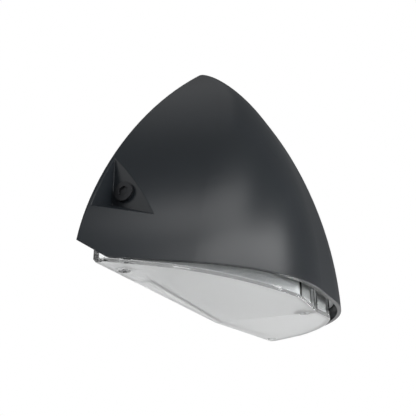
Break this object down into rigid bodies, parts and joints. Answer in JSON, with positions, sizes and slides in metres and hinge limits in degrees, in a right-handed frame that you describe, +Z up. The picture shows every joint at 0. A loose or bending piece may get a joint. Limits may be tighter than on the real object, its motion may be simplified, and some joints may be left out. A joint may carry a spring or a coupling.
{
  "type": "wall pack light",
  "caption": "Dome-shaped outdoor wall pack light with a clear lens underneath, on a wall plate; the housing swings down on a bottom hinge for wiring.",
  "frame": {"origin": "middle of the wire entry in the wall plate, on the wall surface", "axes": "+Z up along the wall, +Y into the wall, -Y out into the room, +X to the right when facing the wall"},
  "size_m": [0.3274, 0.106, 0.2334],
  "materials": {
    "graphite_powder_coat": "satin",
    "galvanised_steel": "satin",
    "foam_gasket": "matte",
    "black_rubber": "matte",
    "stainless_steel": "satin",
    "cream_plastic": "satin",
    "green_zinc": "satin",
    "clear_polycarbonate": "gloss",
    "black_steel": "satin",
    "cast_aluminium": "satin",
    "brushed_aluminium": "brushed",
    "white_solder_mask": "satin",
    "phosphor_resin": "gloss",
    "frosted_acrylic": "satin",
    "grey_painted_steel": "satin",
    "thermal_pad": "matte",
    "grey_plastic": "satin",
    "black_plastic": "satin"
  },
  "bodies": {
    "wall_side": {"wall_plate": "galvanised_steel", "wall_gasket": "foam_gasket", "rim_seal": "black_rubber", "hinge_pins": "stainless_steel", "terminal_block": "cream_plastic", "terminal_screws": "stainless_steel", "ground_screw": "green_zinc"},
    "door": {"housing": "graphite_powder_coat", "lens": "clear_polycarbonate", "lens_screws": "black_steel", "lens_gasket": "black_rubber", "engine_plate": "cast_aluminium", "engine_plate_screws": "stainless_steel", "reflector": "brushed_aluminium", "led_board": "white_solder_mask", "board_screws": "stainless_steel", "led_packages": "phosphor_resin", "optic_cover": "frosted_acrylic", "driver_case": "grey_painted_steel", "driver_pad": "thermal_pad", "driver_screws": "stainless_steel", "surge_module": "grey_plastic", "breather_vent": "black_plastic", "lead_grommet": "black_rubber", "lock_screw_left": "black_steel", "lock_screw_right": "black_steel", "lock_washers": "black_rubber", "lock_nuts": "stainless_steel"}
  },
  "joints": [
    {"name": "housing_swing", "type": "hinge", "parent": "wall_side", "child": "door", "pos_m": [0, -0.0092, -0.072], "axis": [1, 0, 0], "range_deg": [0, 35]}
  ]
}
